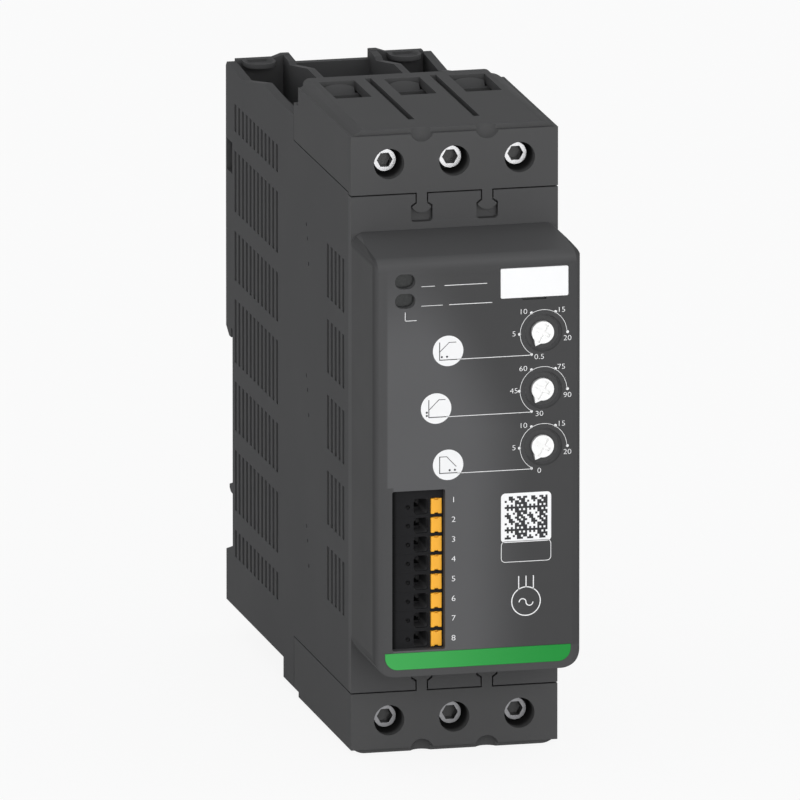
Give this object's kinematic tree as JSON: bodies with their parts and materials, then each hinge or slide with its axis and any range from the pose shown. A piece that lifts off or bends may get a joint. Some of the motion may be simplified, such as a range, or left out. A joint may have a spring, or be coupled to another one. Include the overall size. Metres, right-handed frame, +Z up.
{
  "type": "soft starter",
  "caption": "Narrow rail-mounted soft starter for a three-phase motor, with screw clamps above and below, setting dials, signal lenses and a push-in control terminal row.",
  "frame": {"origin": "middle of the rail seat: on the plane that lies against the front of a 35 mm rail, at the rail's mid height and the case's mid width", "axes": "+Y into the rail (the front faces -Y), +Z up, +X to the right seen from the front"},
  "size_m": [0.045, 0.1379, 0.1354],
  "materials": {
    "case_plastic": "fine matt moulded texture, dark grey",
    "cover_plastic": "fine matt moulded texture, dark grey",
    "green_plastic": "satin",
    "white_plastic": "satin",
    "black_plastic": "matt",
    "orange_plastic": "satin",
    "lens_plastic": "smoked, clear",
    "blue_plastic": "satin",
    "board": "green solder mask",
    "bright_steel": "zinc plated",
    "dark_steel": "dull plated",
    "copper": null,
    "sink_metal": "extruded"
  },
  "bodies": {
    "case": {"housing": "case_plastic", "upper_terminal_cap": "case_plastic", "lower_terminal_cap": "case_plastic", "front_cover": "cover_plastic", "accent_strip": "green_plastic", "label_plate": "white_plastic", "control_block": "black_plastic", "thyristor_module_1": "black_plastic", "thyristor_module_2": "black_plastic", "thyristor_module_3": "black_plastic", "current_sensor_1": "black_plastic", "current_sensor_2": "black_plastic", "current_sensor_3": "black_plastic", "upper_lens": "lens_plastic", "lower_lens": "lens_plastic", "status_leds": "lens_plastic", "potentiometer_1": "blue_plastic", "potentiometer_2": "blue_plastic", "potentiometer_3": "blue_plastic", "bypass_relay_1": "blue_plastic", "bypass_relay_2": "blue_plastic", "bypass_relay_3": "blue_plastic", "control_board": "board", "link_board": "board", "power_board": "board", "board_screws": "bright_steel", "clip_springs": "bright_steel", "contact_plates": "bright_steel", "line_bar_1": "copper", "line_bar_2": "copper", "line_bar_3": "copper", "load_bar_1": "copper", "load_bar_2": "copper", "load_bar_3": "copper", "heat_sink": "sink_metal"},
    "rail_clip": {"rail_clip": "case_plastic"},
    "line_screw_1": {"line_screw_1": "bright_steel"},
    "line_screw_2": {"line_screw_2": "bright_steel"},
    "line_screw_3": {"line_screw_3": "bright_steel"},
    "load_screw_1": {"load_screw_1": "dark_steel"},
    "load_screw_2": {"load_screw_2": "dark_steel"},
    "load_screw_3": {"load_screw_3": "dark_steel"},
    "line_cage_1": {"line_cage_1": "bright_steel"},
    "line_cage_2": {"line_cage_2": "bright_steel"},
    "line_cage_3": {"line_cage_3": "bright_steel"},
    "load_cage_1": {"load_cage_1": "bright_steel"},
    "load_cage_2": {"load_cage_2": "bright_steel"},
    "load_cage_3": {"load_cage_3": "bright_steel"},
    "dial_1": {"dial_1": "white_plastic"},
    "dial_2": {"dial_2": "white_plastic"},
    "dial_3": {"dial_3": "white_plastic"},
    "release_button_1": {"release_button_1": "orange_plastic"},
    "release_button_2": {"release_button_2": "orange_plastic"},
    "release_button_3": {"release_button_3": "orange_plastic"},
    "release_button_4": {"release_button_4": "orange_plastic"},
    "release_button_5": {"release_button_5": "orange_plastic"},
    "release_button_6": {"release_button_6": "orange_plastic"},
    "release_button_7": {"release_button_7": "orange_plastic"},
    "release_button_8": {"release_button_8": "orange_plastic"}
  },
  "joints": [
    {"name": "rail_clip_slide", "type": "slide", "parent": "case", "child": "rail_clip", "axis": [0, 0, -1], "range_m": [0, 0.004], "stiffness_N_per_m": 900, "deforming": ["clip_springs"]},
    {"name": "line_screw_1_turn", "type": "hinge", "parent": "case", "child": "line_screw_1", "pos_m": [-0.0142, -0.1055, 0.0788], "axis": [0, 1, 0], "range_deg": [0, 2572]},
    {"name": "line_screw_2_turn", "type": "hinge", "parent": "case", "child": "line_screw_2", "pos_m": [0, -0.1055, 0.0788], "axis": [0, 1, 0], "range_deg": [0, 2572]},
    {"name": "line_screw_3_turn", "type": "hinge", "parent": "case", "child": "line_screw_3", "pos_m": [0.0142, -0.1055, 0.0788], "axis": [0, 1, 0], "range_deg": [0, 2572]},
    {"name": "line_cage_1_slide", "type": "slide", "parent": "case", "child": "line_cage_1", "axis": [0, -1, 0], "range_m": [0, 0.005]},
    {"name": "line_cage_2_slide", "type": "slide", "parent": "case", "child": "line_cage_2", "axis": [0, -1, 0], "range_m": [0, 0.005]},
    {"name": "line_cage_3_slide", "type": "slide", "parent": "case", "child": "line_cage_3", "axis": [0, -1, 0], "range_m": [0, 0.005]},
    {"name": "load_screw_1_turn", "type": "hinge", "parent": "case", "child": "load_screw_1", "pos_m": [-0.0142, -0.1055, -0.0422], "axis": [0, 1, 0], "range_deg": [0, 2572]},
    {"name": "load_screw_2_turn", "type": "hinge", "parent": "case", "child": "load_screw_2", "pos_m": [0, -0.1055, -0.0422], "axis": [0, 1, 0], "range_deg": [0, 2572]},
    {"name": "load_screw_3_turn", "type": "hinge", "parent": "case", "child": "load_screw_3", "pos_m": [0.0142, -0.1055, -0.0422], "axis": [0, 1, 0], "range_deg": [0, 2572]},
    {"name": "load_cage_1_slide", "type": "slide", "parent": "case", "child": "load_cage_1", "axis": [0, -1, 0], "range_m": [0, 0.005]},
    {"name": "load_cage_2_slide", "type": "slide", "parent": "case", "child": "load_cage_2", "axis": [0, -1, 0], "range_m": [0, 0.005]},
    {"name": "load_cage_3_slide", "type": "slide", "parent": "case", "child": "load_cage_3", "axis": [0, -1, 0], "range_m": [0, 0.005]},
    {"name": "dial_1_turn", "type": "hinge", "parent": "case", "child": "dial_1", "pos_m": [0.0142, -0.1305, 0.0455], "axis": [0, 1, 0], "range_deg": [0, 240]},
    {"name": "dial_2_turn", "type": "hinge", "parent": "case", "child": "dial_2", "pos_m": [0.0142, -0.1305, 0.03315], "axis": [0, 1, 0], "range_deg": [0, 240]},
    {"name": "dial_3_turn", "type": "hinge", "parent": "case", "child": "dial_3", "pos_m": [0.0142, -0.1305, 0.0208], "axis": [0, 1, 0], "range_deg": [0, 240]},
    {"name": "release_button_1_push", "type": "slide", "parent": "case", "child": "release_button_1", "axis": [0, 1, 0], "range_m": [0, 0.0015], "stiffness_N_per_m": 600},
    {"name": "release_button_2_push", "type": "slide", "parent": "case", "child": "release_button_2", "axis": [0, 1, 0], "range_m": [0, 0.0015], "stiffness_N_per_m": 600},
    {"name": "release_button_3_push", "type": "slide", "parent": "case", "child": "release_button_3", "axis": [0, 1, 0], "range_m": [0, 0.0015], "stiffness_N_per_m": 600},
    {"name": "release_button_4_push", "type": "slide", "parent": "case", "child": "release_button_4", "axis": [0, 1, 0], "range_m": [0, 0.0015], "stiffness_N_per_m": 600},
    {"name": "release_button_5_push", "type": "slide", "parent": "case", "child": "release_button_5", "axis": [0, 1, 0], "range_m": [0, 0.0015], "stiffness_N_per_m": 600},
    {"name": "release_button_6_push", "type": "slide", "parent": "case", "child": "release_button_6", "axis": [0, 1, 0], "range_m": [0, 0.0015], "stiffness_N_per_m": 600},
    {"name": "release_button_7_push", "type": "slide", "parent": "case", "child": "release_button_7", "axis": [0, 1, 0], "range_m": [0, 0.0015], "stiffness_N_per_m": 600},
    {"name": "release_button_8_push", "type": "slide", "parent": "case", "child": "release_button_8", "axis": [0, 1, 0], "range_m": [0, 0.0015], "stiffness_N_per_m": 600}
  ],
  "couplings": [
    {"joint": "line_screw_1_turn", "follows": "line_cage_1_slide", "rad_per_m": 8976},
    {"joint": "line_screw_2_turn", "follows": "line_cage_2_slide", "rad_per_m": 8976},
    {"joint": "line_screw_3_turn", "follows": "line_cage_3_slide", "rad_per_m": 8976},
    {"joint": "load_screw_1_turn", "follows": "load_cage_1_slide", "rad_per_m": 8976},
    {"joint": "load_screw_2_turn", "follows": "load_cage_2_slide", "rad_per_m": 8976},
    {"joint": "load_screw_3_turn", "follows": "load_cage_3_slide", "rad_per_m": 8976}
  ]
}
